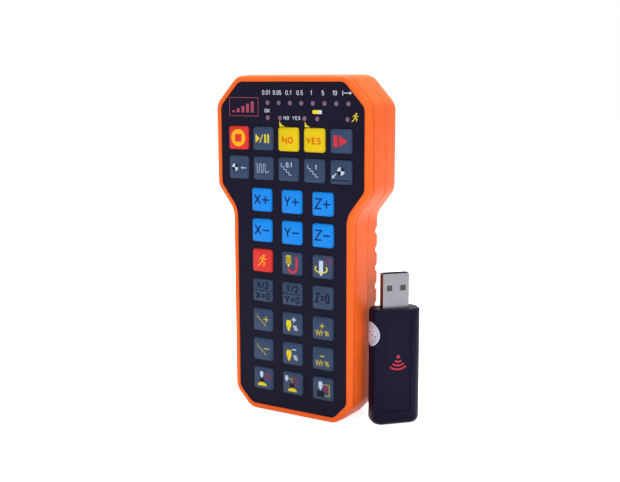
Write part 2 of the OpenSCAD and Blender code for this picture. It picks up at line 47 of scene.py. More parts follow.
# ---- Camera ----
# A short telephoto lens on a stand, a little to the right of the keypad and above it.
# It looks down at the pair that stands on the table.
lens = bpy.data.cameras.new("stand_camera")
lens.sensor_width = 36
lens.lens = 58.06
lens.clip_start = 0.02
camera = bpy.data.objects.new("stand_camera", lens)
scene.collection.objects.link(camera)
scene.camera = camera
camera_place = (0.2304, -0.3734, 0.150)
camera_turn = math.radians(31.454)
camera_drop = math.radians(9.4)
camera_roll = math.radians(-0.2)
camera.matrix_world = (
    Matrix.Translation(camera_place)
    @ Matrix.Rotation(camera_turn, 4, "Z")
    @ Matrix.Rotation(math.pi / 2 - camera_drop, 4, "X")
    @ Matrix.Rotation(camera_roll, 4, "Z")
)


# ---- Table and studio light ----
# A white table that runs out of sight, in a white tent: one soft lamp in front beside
# the camera, one high above the back, which lights the top edges, and a weak one on
# the right. Only the camera, mirrors and glass see the tent as pure white.
def linear(code):
    """A colour written as sRGB hex, as linear red, green, blue and alpha."""
    channels = [int(code[i : i + 2], 16) / 255 for i in (1, 3, 5)]
    return [c / 12.92 if c <= 0.04045 else ((c + 0.055) / 1.055) ** 2.4 for c in channels] + [1]


def add(tree, kind, settings={}, links={}):
    """Adds one node: settings go to its properties or sockets, links join its sockets."""
    node = tree.nodes.new(kind)
    for key, value in settings.items():
        if isinstance(key, str) and hasattr(node, key):
            setattr(node, key, value)
        else:
            node.inputs[key].default_value = value
    for key, output in links.items():
        tree.links.new(output, node.inputs[key])
    return node


def seen_directly(tree):
    """1 for the camera and for what a mirror or a glass shows, 0 for light on the object."""
    path = add(tree, "ShaderNodeLightPath")
    camera_or_mirror = add(
        tree,
        "ShaderNodeMath",
        {"operation": "MAXIMUM"},
        {0: path.outputs["Is Camera Ray"], 1: path.outputs["Is Glossy Ray"]},
    )
    any_of_them = add(
        tree,
        "ShaderNodeMath",
        {"operation": "MAXIMUM"},
        {0: camera_or_mirror.outputs[0], 1: path.outputs["Is Transmission Ray"]},
    )
    return any_of_them.outputs[0]


tent = bpy.data.worlds.new("white_tent")
scene.world = tent
tent.use_nodes = True
tent_tree = tent.node_tree
tent_tree.nodes.clear()
tent_glow = 0.22
glow = add(
    tent_tree, "ShaderNodeBackground", {"Color": linear("#F4F7FF"), "Strength": tent_glow}
)
white = add(tent_tree, "ShaderNodeBackground", {"Color": (1, 1, 1, 1), "Strength": 1.0})
tent_look = add(
    tent_tree,
    "ShaderNodeMixShader",
    {},
    {0: seen_directly(tent_tree), 1: glow.outputs[0], 2: white.outputs[0]},
)
add(tent_tree, "ShaderNodeOutputWorld", {}, {"Surface": tent_look.outputs[0]})

table_mesh = bpy.data.meshes.new("table")
table_mesh.from_pydata([(-6, -3, 0), (6, -3, 0), (6, 9, 0), (-6, 9, 0)], [], [(0, 1, 2, 3)])
table = bpy.data.objects.new("table", table_mesh)
scene.collection.objects.link(table)
table_paper = bpy.data.materials.new("white_table_paper")
table_paper.use_nodes = True
table_tree = table_paper.node_tree
table_tree.nodes.clear()
table_white = (0.86, 0.86, 0.87, 1)
table_lift = 0.82
matt = add(table_tree, "ShaderNodeBsdfDiffuse", {"Color": table_white})
lift = add(
    table_tree,
    "ShaderNodeMath",
    {"operation": "MULTIPLY", 1: table_lift},
    {0: seen_directly(table_tree)},
)
lifted = add(
    table_tree, "ShaderNodeEmission", {"Color": (1, 1, 1, 1)}, {"Strength": lift.outputs[0]}
)
both = add(table_tree, "ShaderNodeAddShader", {}, {0: matt.outputs[0], 1: lifted.outputs[0]})
add(table_tree, "ShaderNodeOutputMaterial", {}, {"Surface": both.outputs[0]})
table_mesh.materials.append(table_paper)

lamp_size = 0.7
for name, lamp_place, lamp_aim, watts in (
    ("lamp_front", (0.35, -1.3, 0.8), (0, 0, 0.07), 10),
    ("lamp_above", (-0.25, 0.25, 1.25), (0, 0, 0.05), 21),
    ("lamp_right", (1.2, -0.2, 0.6), (0.02, 0, 0.07), 4),
):
    lamp = bpy.data.lights.new(name, "AREA")
    lamp.size = lamp_size
    lamp.energy = watts
    lamp_object = bpy.data.objects.new(name, lamp)
    scene.collection.objects.link(lamp_object)
    lamp_turn = (Vector(lamp_aim) - Vector(lamp_place)).to_track_quat("-Z", "Y")
    lamp_object.matrix_world = Matrix.Translation(lamp_place) @ lamp_turn.to_matrix().to_4x4()


# ---- Case: two halves and the battery door ----
# Orange ABS, injection moulded in spark-eroded tools, which leaves a fine satin skin
# with a soft highlight. The halves meet in a shadow groove and are screwed from behind.
def skin(
    name, dark, light, roughness, grain, depth, patch=9, shine=0.5, metallic=0, rounded=0
):
    """A moulded or printed surface. Its colour drifts over patch mm, and a grain of grain
    mm stands depth mm high and breaks up the gloss. Shine 0.5 is plain polished plastic,
    and rounded is the radius in mm that its outer corners seem to have."""
    material = bpy.data.materials.new(name)
    material.use_nodes = True
    tree = material.node_tree
    shader = tree.nodes["Principled BSDF"]
    shader.inputs["Specular IOR Level"].default_value = shine
    shader.inputs["Metallic"].default_value = metallic
    where = add(tree, "ShaderNodeTexCoord").outputs["Object"]
    drift = add(
        tree, "ShaderNodeTexNoise", {"Scale": 1000 / patch, "Detail": 2}, {"Vector": where}
    )
    colour = add(
        tree,
        "ShaderNodeMix",
        {"data_type": "RGBA", 6: linear(dark), 7: linear(light)},
        {0: drift.outputs[0]},
    )
    pits = add(
        tree,
        "ShaderNodeTexNoise",
        {"Scale": 1000 / grain, "Detail": 3, "Roughness": 0.6},
        {"Vector": where},
    )
    gloss_spread = 0.07
    gloss = add(
        tree,
        "ShaderNodeMapRange",
        {"To Min": roughness - gloss_spread, "To Max": roughness + gloss_spread},
        {"Value": pits.outputs[0]},
    )
    relief = add(
        tree, "ShaderNodeBump", {"Distance": depth / 1000}, {"Height": pits.outputs[0]}
    )
    if rounded:
        corners = add(tree, "ShaderNodeBevel", {"Radius": rounded / 1000})
        tree.links.new(corners.outputs[0], relief.inputs["Normal"])
    tree.links.new(colour.outputs[2], shader.inputs["Base Color"])
    tree.links.new(gloss.outputs[0], shader.inputs["Roughness"])
    tree.links.new(relief.outputs[0], shader.inputs["Normal"])
    return material


# This joins the loose triangles of a CAD node and shades its curved faces smooth.
smooth_tree = bpy.data.node_groups.new("smooth_curved_faces", "GeometryNodeTree")
sockets = smooth_tree.interface
sockets.new_socket("Geometry", in_out="INPUT", socket_type="NodeSocketGeometry")
joining = sockets.new_socket("Joining distance", in_out="INPUT", socket_type="NodeSocketFloat")
crease = sockets.new_socket("Crease angle", in_out="INPUT", socket_type="NodeSocketFloat")
sockets.new_socket("Geometry", in_out="OUTPUT", socket_type="NodeSocketGeometry")
given = add(smooth_tree, "NodeGroupInput")
bare = add(
    smooth_tree,
    "GeometryNodeRemoveAttribute",
    {"Name": "custom_normal"},
    {"Geometry": given.outputs[0]},
)
joined = add(
    smooth_tree,
    "GeometryNodeMergeByDistance",
    {},
    {"Geometry": bare.outputs[0], "Distance": given.outputs[1]},
)
smooth = add(
    smooth_tree,
    "GeometryNodeSetShadeSmooth",
    {"domain": "FACE"},
    {"Geometry": joined.outputs[0]},
)
bend = add(smooth_tree, "GeometryNodeInputMeshEdgeAngle")
sharp = add(
    smooth_tree,
    "FunctionNodeCompare",
    {"operation": "GREATER_THAN"},
    {0: bend.outputs["Unsigned Angle"], 1: given.outputs[2]},
)
creased = add(
    smooth_tree,
    "GeometryNodeSetShadeSmooth",
    {"domain": "EDGE", "Shade Smooth": False},
    {"Geometry": smooth.outputs[0], "Selection": sharp.outputs[0]},
)
add(smooth_tree, "NodeGroupOutput", {}, {0: creased.outputs[0]})
joining_distance = 0.000002
crease_angle = math.radians(32)


def finish(material, *names):
    """Gives CAD nodes their material and smooth curved faces."""
    for name in names:
        node = nodes[name]
        for slot in node.material_slots:
            slot.material = material
        modifier = node.modifiers.new("smooth_curved_faces", "NODES")
        modifier.node_group = smooth_tree
        modifier[joining.identifier] = joining_distance
        modifier[crease.identifier] = crease_angle


orange_abs = skin(
    "spark_eroded_orange_abs", "#FA6419", "#FF6A22", 0.42, 0.45, 0.012, 9, 0.18, rounded=1.4
)
finish(orange_abs, "front_shell", "rear_shell", "battery_door")

# ---- Case and board screws ----
# Black oxide steel, self-tapping, sunk in deep holes in the back and in the board.
# The oxide is dull and slightly brown, rubbed bright where the driver turned.
black_oxide = skin(
    "black_oxide_screw_steel", "#1D1B1C", "#3A3735", 0.45, 0.25, 0.01, 1.2, metallic=0.9
)
finish(black_oxide, "case_screws", "board_screws")

# ---- Face sheet ----
# A polyester film, printed near black on its back and glued into the recess of the case.
# The film is velvet textured, so it shows a broad dull sheen and no mirror image.
face_film = skin("velvet_polyester_film", "#131122", "#191729", 0.42, 0.3, 0.006, 14, 0.05)
finish(face_film, "face_sheet")

# ---- Indicator lights ----
# Thirteen flat-topped 2.2 mm diodes on the circuit board, flush with the face film. Their
# milky pink resin lets some light in, so they look soft and a little darker at the edge.
milky_resin = skin("milky_pink_resin", "#74546A", "#83637A", 0.35, 0.4, 0.004, 2, 0.2)
milky_shader = milky_resin.node_tree.nodes["Principled BSDF"]
milky_shader.inputs["Subsurface Weight"].default_value = 0.15
milky_shader.inputs["Subsurface Scale"].default_value = 0.001
finish(milky_resin, "indicator_lights")

# ---- Keys ----
# Thirty-one caps of silicone rubber, each pressed against the mat by its plunger.
# Silicone is dull with a soft sheen on its edges, and its colour goes right through.
key_colours = {
    "red": ("#D62A24", "#E03830"),
    "yellow": ("#DCBE03", "#E6C808"),
    "blue": ("#0682E0", "#0C8AE8"),
    "slate": ("#2B3C58", "#314461"),
}
rubber = {
    colour: skin(
        "silicone_" + colour, dark, light, 0.45, 0.35, 0.008, 4, 0.18, rounded=2.4
    )
    for colour, (dark, light) in key_colours.items()
}
for name in nodes:
    if name in ("key_stop", "key_run"):
        finish(rubber["red"], name)
    elif name in ("key_no", "key_yes"):
        finish(rubber["yellow"], name)
    elif name.startswith(("key_x_", "key_y_", "key_z_")):
        finish(rubber["blue"], name)
    elif name.startswith("key_"):
        finish(rubber["slate"], name)

# ---- Legends on the keys ----
# Each legend is pad printed on its key in up to four inks, which dry with a dull, even
# face a few hundredths of a millimetre proud. It is drawn flat, in mm from the middle
# of the key.
ink_colours = {
    "white": "#C3CDE0",
    "yellow": "#DEC92A",
    "ochre": "#BCAA38",
    "amber": "#FFB41E",
    "orange": "#D8650A",
    "red": "#CC3340",
    "dim_red": "#84304A",
    "navy": "#06306E",
    "dusk": "#050B1C",
    "black": "#10131C",
}
inks = {
    name: skin("pad_ink_" + name, code, code, 0.5, 0.25, 0.003, 2, 0.1)
    for name, code in ink_colours.items()
}


def bar(points, width, closed=False):
    """A line of one width along points, as four-sided pieces with mitred joints."""
    path = [Vector(p) for p in points]
    count = len(path)
    sides = []
    for i, p in enumerate(path):
        before = path[i - 1] if i or closed else None
        after = path[(i + 1) % count] if i < count - 1 or closed else None
        one = (p - before).normalized() if before is not None else (after - p).normalized()
        two = (after - p).normalized() if after is not None else one
        along = (one + two).normalized() if (one + two).length > 1e-6 else one
        out = Vector((-along.y, along.x)) * (width / 2 / max(0.35, along.dot(one)))
        sides.append((p + out, p - out))
    last = count if closed else count - 1
    faces = []
    for i in range(last):
        near, far = sides[i], sides[(i + 1) % count]
        faces.append([near[0], near[1], far[1], far[0]])
    return faces


def round_points(x, y, r, start=0, end=360, steps=28, squash=1):
    """Points on a circle or on part of one."""
    angles = [math.radians(start + (end - start) * k / steps) for k in range(steps + 1)]
    return [(x + r * math.cos(a), y + r * squash * math.sin(a)) for a in angles]


def disc(x, y, r):
    """A round face."""
    return [round_points(x, y, r)[:-1]]


def block(left, low, right, high):
    """A rectangular face."""
    return [[(left, low), (right, low), (right, high), (left, high)]]


# Plain single-stroke lettering: each sign has its width and its strokes in a box 1 high.
percent_rings = [round_points(x, y, 0.22, 0, 360, 16) for x, y in ((0.24, 0.78), (0.76, 0.22))]
oval = [
    (0.5 + 0.5 * math.copysign(abs(px) ** 0.7, px), 0.5 + 0.5 * py)
    for px, py in round_points(0, 0, 1, 0, 360, 20)
]
digit_two = [(0, 0.76), (0.2, 0.97), (0.5, 1), (0.85, 0.93)]
digit_two += [(0.97, 0.74), (0.85, 0.52), (0, 0), (1, 0)]
digit_five = [(0.9, 1), (0.14, 1), (0.06, 0.5), (0.35, 0.62), (0.7, 0.6)]
digit_five += [(0.98, 0.42), (0.98, 0.2), (0.7, 0), (0.3, 0), (0, 0.14)]
letter_s = [(0.96, 0.82), (0.75, 0.97), (0.35, 1), (0.06, 0.84), (0.08, 0.64)]
letter_s += [(0.85, 0.4), (0.97, 0.22), (0.72, 0.02), (0.3, 0), (0, 0.16)]
glyphs = {
    "0": (0.55, [oval]),
    "O": (0.72, [oval]),
    "1": (0.3, [[(0, 0.76), (0.8, 1), (0.8, 0)]]),
    "2": (0.55, [digit_two]),
    "5": (0.55, [digit_five]),
    ".": (0.08, [[(0.5, -0.03), (0.5, 0.1)]]),
    "/": (0.5, [[(0, 0), (1, 1)]]),
    "=": (0.6, [[(0, 0.66), (1, 0.66)], [(0, 0.34), (1, 0.34)]]),
    "%": (0.9, [[(0.15, 0), (0.85, 1)]] + percent_rings),
    "E": (0.52, [[(1, 1), (0, 1), (0, 0), (1, 0)], [(0, 0.52), (0.85, 0.52)]]),
    "K": (0.6, [[(0, 0), (0, 1)], [(1, 1), (0, 0.4)], [(0.35, 0.6), (1, 0)]]),
    "N": (0.65, [[(0, 0), (0, 1), (1, 0), (1, 1)]]),
    "S": (0.55, [letter_s]),
    "X": (0.66, [[(0, 0), (1, 1)], [(0, 1), (1, 0)]]),
    "Y": (0.66, [[(0, 1), (0.5, 0.45), (1, 1)], [(0.5, 0.45), (0.5, 0)]]),
    "Z": (0.62, [[(0, 1), (1, 1), (0, 0), (1, 0)]]),
}


def letters(text, x, y, width, height, stroke, gap=0.3):
    """A word in single strokes, fitted to a width and a height and centred on x, y."""
    total = sum(glyphs[sign][0] for sign in text) + gap * (len(text) - 1)
    unit = (width - stroke) / total
    left = x - (width - stroke) / 2
    faces = []
    for sign in text:
        wide, strokes = glyphs[sign]
        for line in strokes:
            path = [
                (left + px * wide * unit, y + (py - 0.5) * (height - stroke)) for px, py in line
            ]
            if math.dist(path[0], path[-1]) < 0.001:
                faces += bar(path[:-1], stroke, closed=True)
            else:
                faces += bar(path, stroke)
        left += (wide + gap) * unit
    return faces


# Each ink lies this many mm higher than the one before it.
ink_layer = 0.012


def print_marks(name, body, marks, place):
    """Prints marks on a face. A mark is (ink, faces), and each later mark lies a layer
    higher. The drawing's x, y and height are carried to the face by place."""
    mesh = bpy.data.meshes.new(name)
    shape = bmesh.new()
    used = []
    for height, (ink, faces) in enumerate(marks):
        if inks[ink] not in used:
            used.append(inks[ink])
        part = bmesh.new()
        for face in faces:
            corners = [part.verts.new((p[0], p[1], 0)) for p in face]
            part.faces.new(corners)
        bmesh.ops.remove_doubles(part, verts=part.verts, dist=0.0005)
        bmesh.ops.dissolve_degenerate(part, edges=part.edges, dist=0.0005)
        bmesh.ops.recalc_face_normals(part, faces=part.faces)
        for face in part.faces:
            if face.normal.z < 0:
                face.normal_flip()
        top = ink_layer * (height + 2)
        raised = bmesh.ops.extrude_face_region(part, geom=list(part.faces))
        for vert in [v for v in raised["geom"] if isinstance(v, bmesh.types.BMVert)]:
            vert.co.z = top
        bmesh.ops.recalc_face_normals(part, faces=part.faces)
        for face in part.faces:
            face.material_index = used.index(inks[ink])
        scratch = bpy.data.meshes.new("scratch")
        part.to_mesh(scratch)
        part.free()
        shape.from_mesh(scratch)
        bpy.data.meshes.remove(scratch)
    bmesh.ops.transform(shape, matrix=place, verts=shape.verts)
    shape.to_mesh(mesh)
    shape.free()
    for material in used:
        mesh.materials.append(material)
    piece = bpy.data.objects.new(name, mesh)
    scene.collection.objects.link(piece)
    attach(piece, body)


def facing_front(x, y, z):
    """Carries a drawing in mm to a place in metres on a face that looks along -Y."""
    mm = 0.001
    return Matrix(((mm, 0, 0, x), (0, 0, -mm, y), (0, mm, 0, z), (0, 0, 0, 1)))


def target(x, y, r):
    """A quartered disc with short sight lines."""
    quarter = [[(x, y)] + round_points(x, y, r, a, a + 90, 8) for a in (0, 180)]
    light = [[(x, y)] + round_points(x, y, r, a, a + 90, 8) for a in (90, 270)]
    lines = bar([(x - r * 1.3, y), (x + r * 1.3, y)], 0.22)
    lines += bar([(x, y - r * 1.35), (x, y + r * 1.35)], 0.22)
    return [("black", lines + quarter), ("white", light)]


def arrow(start, end, width, head):
    """A straight arrow that points at end."""
    a, b = Vector(start), Vector(end)
    along = (b - a).normalized()
    side = Vector((-along.y, along.x))
    neck = b - along * head
    wings = [neck + side * head * 0.6, neck - side * head * 0.6]
    return bar([a, neck], width) + [[b, wings[0], neck + along * head * 0.15, wings[1]]]


def stair(x, y, tread, rise, steps, lead):
    """Steps that go down to the right, after one longer riser."""
    points = [(x, y), (x, y - lead)]
    for k in range(steps):
        points.append((x + tread * (k + 1), points[-1][1]))
        points.append((points[-1][0], points[-1][1] - rise))
    points.append((points[-1][0] + tread, points[-1][1]))
    return points


def runner(x, y, s):
    """A running figure in plain strokes, s times a figure 5 mm high."""

    def at(*points):
        return [(x + s * px, y + s * py) for px, py in points]

    return (
        disc(x + 0.85 * s, y + 2.1 * s, 0.52 * s)
        + [at((0.55, 1.6), (1.05, 1.2), (0.25, -0.55), (-0.55, -0.3))]
        + bar(at((0.6, 1.35), (-0.6, 1.35), (-1.2, 0.35)), 0.36 * s)
        + bar(at((0.8, 1.15), (1.35, 0.45), (2.1, 0.95)), 0.36 * s)
        + bar(at((-0.1, -0.35), (1.3, -0.8), (0.75, -2.1)), 0.46 * s)
        + bar(at((-0.25, -0.35), (-1.0, -1.5), (-2.1, -2.3)), 0.46 * s)
    )


def plus(x, y, size, width):
    """A plus sign of three faces that do not overlap."""
    return (
        bar([(x - size / 2, y), (x + size / 2, y)], width)
        + block(x - width / 2, y + width / 2, x + width / 2, y + size / 2)
        + block(x - width / 2, y - size / 2, x + width / 2, y - width / 2)
    )


def minus(x, y, size, width):
    """A minus sign."""
    return block(x - size / 2, y - width / 2, x + size / 2, y + width / 2)


def no_sign(x, y, r):
    """A barred ring."""
    slash = r * 0.68
    ring = bar(round_points(x, y, r)[:-1], 0.36, closed=True)
    return ring + bar([(x - slash, y + slash), (x + slash, y - slash)], 0.3)


def bit(x, y, width, height, point):
    """A cutter that hangs from its shank, with its point down."""
    half = width / 2
    left = [
        (x - half * 0.75, y),
        (x - half, y - height * 0.2),
        (x - half, y - height + point),
    ]
    right = [(2 * x - px, py) for px, py in reversed(left)]
    return [left + [(x, y - height)] + right]


def mound(x, y, width, height):
    """Work that the probe stands on: flat below and round above."""
    crown = round_points(x, y, width / 2, 0, 180, 14, 2 * height / width)
    return [[(x - width / 2, y)] + crown[:-1]]


def serpentine(x, y, pitch, height, strokes):
    """Upright strokes joined by half rings, alternately below and above."""
    left = x - pitch * strokes / 2
    reach = height / 2 - pitch / 2
    points = round_points(left, y + reach, pitch / 2, 120, 0, 4)
    for k in range(strokes - 1):
        middle = x + pitch * (k + 1 - strokes / 2)
        if k % 2:
            points += round_points(middle, y + reach, pitch / 2, 180, 0, 7)
        else:
            points += round_points(middle, y - reach, pitch / 2, 180, 360, 7)
    return points


def wave(x, y, width, height, waves, lines):
    """A snaking line, as a cutter's feed path is drawn, with so many lines to a wave."""
    points = []
    total = waves * lines
    for k in range(total + 1):
        t = k / total
        swing = height / 2 * math.cos(2 * math.pi * waves * t)
        points.append((x - width / 2 + width * t, y + swing))
    return points


def half_and_zero(axis):
    """Halving an axis over setting it to zero, with a rule between."""
    halved = letters(axis + "/2", 0.2, 2.4, 6.4, 3.3, 0.6)
    zeroed = letters(axis + "=0", 0.2, -2.45, 7.6, 3.3, 0.6)
    return halved + zeroed + block(-4.8, -0.18, 4.8, 0.18)


# A toothed cutter, a twist drill with its hook, and then the drawing of each key.
cutter_x = -1.7
cutter_half = [(0.9, 1.7), (1.35, 1.2), (1.05, 0.9), (1.5, 0.4), (1.15, 0.1), (1.55, -0.4)]
cutter_half += [(1.0, -0.8), (1.25, -1.3), (0.75, -1.6), (0.75, -2.2), (0.3, -3.2)]
cutter_right = [(cutter_x + px, py) for px, py in cutter_half]
cutter_left = [(cutter_x - px, py) for px, py in reversed(cutter_half)]
cutter = [cutter_right + cutter_left]
drill = (
    [[(-2.6, 3.6), (-0.6, 3.6), (-0.4, 3.1), (-2.8, 3.1)]]
    + [[(-3.1, h), (-3.1, h - 0.45), (-0.1, h - 1.05), (-0.1, h - 0.6)] for h in (3.0, 1.9, 0.8)]
    + [[(-2.4, 3.2), (-2.4, -0.3), (-1.6, -1.0), (-0.8, -0.3), (-0.8, 3.2)]]
)
hook = [(2.5, 3.1), (2.5, -1.6)] + round_points(0.4, -1.7, 2.1, 0, -170, 14)[1:]
legends = {
    "key_stop": [("amber", disc(0, 0, 3.75)), ("red_square", block(-1.75, -1.7, 1.75, 1.7))],
    "key_start": [
        (
            "yellow",
            [[(-3.7, -1.9), (-1.5, 0), (-3.7, 1.9)]]
            + bar([(-1.55, -1.9), (0.1, 1.9)], 0.42)
            + block(0.85, -1.9, 1.75, 1.9)
            + block(2.4, -1.9, 3.3, 1.9),
        )
    ],
    "key_no": [("orange", letters("NO", -0.2, -0.3, 5.7, 2.9, 0.62))],
    "key_yes": [("orange", letters("YES", -0.2, -0.3, 7.5, 2.9, 0.6))],
    "key_reset": [
        ("red", block(-3.4, -2.4, -1.5, 2.4) + [[(-0.6, -2.3), (3.3, 0), (-0.6, 2.3)]]),
        ("dim_red", block(-1.3, -2.4, -0.85, 2.4)),
    ],
    "key_home": target(-1.9, -0.1, 1.65) + [("white", arrow((4.1, -0.2), (1.2, -0.2), 0.34, 1.0))],
    "key_wave": [("white", bar(serpentine(-0.4, 0, 1.05, 3.9, 6) + [(3.1, -1.1)], 0.2))],
    "key_step_tenth": [
        (
            "white",
            bar(stair(-3.5, 2.8, 1.3, 1.15, 3, 1.6), 0.22)
            + letters("0.1", 0.4, 2.0, 3.1, 2.1, 0.34),
        )
    ],
    "key_step_one": [
        (
            "white",
            bar(stair(-3.1, 2.6, 1.3, 1.15, 3, 1.6), 0.22)
            + letters("1", 0.9, 1.6, 0.9, 2.1, 0.34),
        )
    ],
    "key_goto": target(0.1, 0.5, 1.75)
    + [
        ("white", arrow((-2.1, -0.5), (-4.2, -2.6), 0.45, 1.4)),
        ("dusk", block(-4.2, -3.65, 4.3, -3.25)),
    ],
    "key_run": [("amber", runner(0, 0, 1.05))],
    "key_spindle": [
        ("yellow", drill),
        ("white", [[(-2.1, -0.75), (-1.6, -1.7), (-1.1, -0.75)]]),
        ("red", bar(hook, 1.0)),
    ],
    "key_tool": [
        ("dim_red", no_sign(3.1, 2.5, 1.6)),
        ("white", [[(-1.6, 2.7), (-1.6, -2.7), (-0.6, -4.1), (0.4, -2.7), (0.4, 2.7)]]),
        ("yellow", bar(round_points(-0.6, -0.9, 3.0, 140, 400, 26, 0.52), 0.6)),
    ],
    "key_half_x": [("dusk", half_and_zero("X"))],
    "key_half_y": [("dusk", half_and_zero("Y"))],
    "key_zero_z": [("dusk", letters("Z=0", -0.1, -0.1, 7.4, 4.4, 0.68))],
    "key_probe_a": [
        ("dim_red", no_sign(2.4, 1.3, 1.5)),
        ("white", bit(-0.9, 3.1, 1.7, 3.1, 1.2)),
        ("black", [[(-1.9, 0.1), (-2.2, -1.8), (0.4, -1.8), (0.1, 0.1)]]),
        ("yellow", mound(-0.7, -3.5, 4.8, 1.7)),
    ],
    "key_probe_b": [
        ("dim_red", no_sign(1.7, 1.3, 1.6)),
        ("ochre", bar([(-2.1, 2.0), (-0.2, 2.0), (-0.2, 0.2)], 0.3)),
        ("white", bit(-3.0, 3.3, 1.6, 2.8, 1.1)),
        ("black", [[(-1.3, 0.1), (-1.6, -2.0), (1.0, -2.0), (0.7, 0.1)]]),
        ("yellow", mound(0.0, -3.7, 4.8, 1.7)),
    ],
    "key_probe_c": [
        ("ochre", bar([(0.1, 2.1), (3.4, 2.1), (3.4, -2.8), (1.0, -2.8)], 0.34)),
        ("dim_red", disc(1.7, 0.1, 1.3)),
        ("white", bit(-1.0, 3.3, 2.0, 4.1, 1.7)),
        ("black", block(-2.8, -3.6, 0.8, -1.0)),
    ],
}
for axis in "xyz":
    letter = letters(axis.upper(), -2.0, 0.2, 3.7, 4.8, 0.72)
    legends["key_" + axis + "_plus"] = [("navy", letter + plus(2.1, 0.1, 3.5, 0.7))]
    legends["key_" + axis + "_minus"] = [("navy", letter + minus(2.15, 0.1, 3.5, 0.7))]
for way, sign in (("up", plus), ("down", minus)):
    legends["key_step_" + way] = [
        ("ochre", bar(stair(-2.9, 2.6, 1.25, 1.1, 3, 1.6), 0.24) + sign(1.8, 0.4, 2.6, 0.55))
    ]
    legends["key_speed_" + way] = [
        ("yellow", cutter),
        ("white", sign(0.95, 2.1, 2.2, 0.5) + letters("%", 1.75, -1.5, 2.4, 2.4, 0.34)),
    ]
    legends["key_feed_" + way] = [
        (
            "ochre",
            sign(-0.2, 1.2, 2.2, 0.55)
            + bar(wave(-1.6, -1.9, 3.6, 2.2, 3, 4), 0.36)
            + letters("%", 2.2, -1.9, 2.4, 2.3, 0.36),
        )
    ]
# The square on the stop key shows the rubber's own red.
inks["red_square"] = rubber["red"]
for name, marks in legends.items():
    low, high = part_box(name)
    key_face = facing_front((low[0] + high[0]) / 2, low[1], (low[2] + high[2]) / 2)
    print_marks("legend_" + name[4:], name, marks, key_face)

# ---- Printing on the face sheet ----
# Screen ink on the film, flat and even: the scale over the eight lights, the signs of the
# five below, two pointers from lights to their keys, and a framed row of signal bars.
# Places are in mm from the middle of the keypad's foot.
inks["panel_white"] = skin("screen_ink_white", "#C9CDD8", "#D3D7E2", 0.5, 0.25, 0.002, 3)
inks["panel_yellow"] = skin("screen_ink_yellow", "#E8CF12", "#F0D81C", 0.5, 0.25, 0.002, 3)
inks["panel_red"] = skin("screen_ink_red", "#8F2F45", "#9A364C", 0.5, 0.25, 0.002, 3)
sheet_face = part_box("face_sheet")[0][1]
lights_low, lights_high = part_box("indicator_lights")
flange_radius = 1.45
first_light = lights_low[0] * 1000 + flange_radius
light_pitch = (lights_high[0] * 1000 - flange_radius - first_light) / 7
scale_z = lights_high[2] * 1000 + 2.9
scale_stroke = 0.25
arrow_stroke = 0.3
scale = ["0.01", "0.05", "0.1", "0.5", "1", "5", "10"]
widths = [4.0, 4.3, 3.0, 3.2, 0.7, 1.2, 2.1]
numbers = []
for k, (text, width) in enumerate(zip(scale, widths)):
    middle = first_light - 0.6 + light_pitch * k
    numbers += letters(text, middle, scale_z, width, 2.0, scale_stroke)
onward = first_light + 7 * light_pitch - 2.5
barb = onward + 3.2
numbers += bar([(onward, scale_z), (onward + 3.4, scale_z)], arrow_stroke)
numbers += [[(barb, scale_z - 0.7), (barb + 1.2, scale_z), (barb, scale_z + 0.7)]]
numbers += bar([(onward, scale_z - 1), (onward, scale_z + 1)], arrow_stroke)
signs = (
    letters("OK", -11.7, 135.1, 2.8, 1.6, 0.27)
    + letters("NO", -1.9, 132.2, 2.7, 1.6, 0.24, 0.45)
    + letters("YES", 3.1, 132.2, 4.0, 1.6, 0.24, 0.45)
    + block(14.1, 134.1, 15.7, 135.7)
)
pointers = [
    [(x, 130.9), (x + 0.1, 128.5), (x + 2.9, 128.5), (x + 1.0, 129.3)] for x in (-5.5, 7.3)
]
battery_nose = [(11.7, 135.7), (11.2, 135.4), (11.0, 134.9), (11.2, 134.4), (11.7, 134.1)]
battery = [[(14.1, 134.1), (14.1, 135.7)] + battery_nose]
bars = [block(-30.2 + 2.5 * k, 134.2, -28.7 + 2.5 * k, 135.0 + 1.0 * k)[0] for k in range(5)]
frame_corners = [(-31.6, 132.7), (-16.4, 132.7), (-16.4, 140.6), (-31.6, 140.6)]
frame_line = bar(frame_corners, 0.24, closed=True)
print_marks(
    "face_printing",
    "keypad",
    [
        ("panel_white", numbers + signs),
        ("panel_yellow", pointers + battery + runner(31.5, 132.9, 0.74)),
        ("panel_red", bars + frame_line),
    ],
    facing_front(0, sheet_face, 0),
)

# ---- Inside the case ----
# A milky, dull silicone mat presses the switches of a circuit board in glossy green
# solder mask. On it sit a dull black chip, its crystal in a bright tinned can, and a
# radio module in blue mask.
mat_silicone = skin("translucent_mat_silicone", "#B9B8B2", "#CBCAC4", 0.55, 0.5, 0.01, 6, 0.3)
finish(mat_silicone, "keypad_mat")
solder_mask = skin("green_solder_mask", "#0C4A2A", "#12603A", 0.32, 0.8, 0.02, 3)
finish(solder_mask, "circuit_board", "receiver_board")
chip_epoxy = skin("moulded_chip_epoxy", "#17181B", "#222327", 0.55, 0.2, 0.01, 2)
finish(chip_epoxy, "microcontroller", "receiver_chip")
tinned = skin("tinned_can_steel", "#B9BBBB", "#D2D3D2", 0.28, 0.5, 0.006, 3, metallic=1)
finish(tinned, "crystal")
module_mask = skin("blue_module_mask", "#12305A", "#1B3F70", 0.32, 0.8, 0.02, 3)
finish(module_mask, "radio_module")

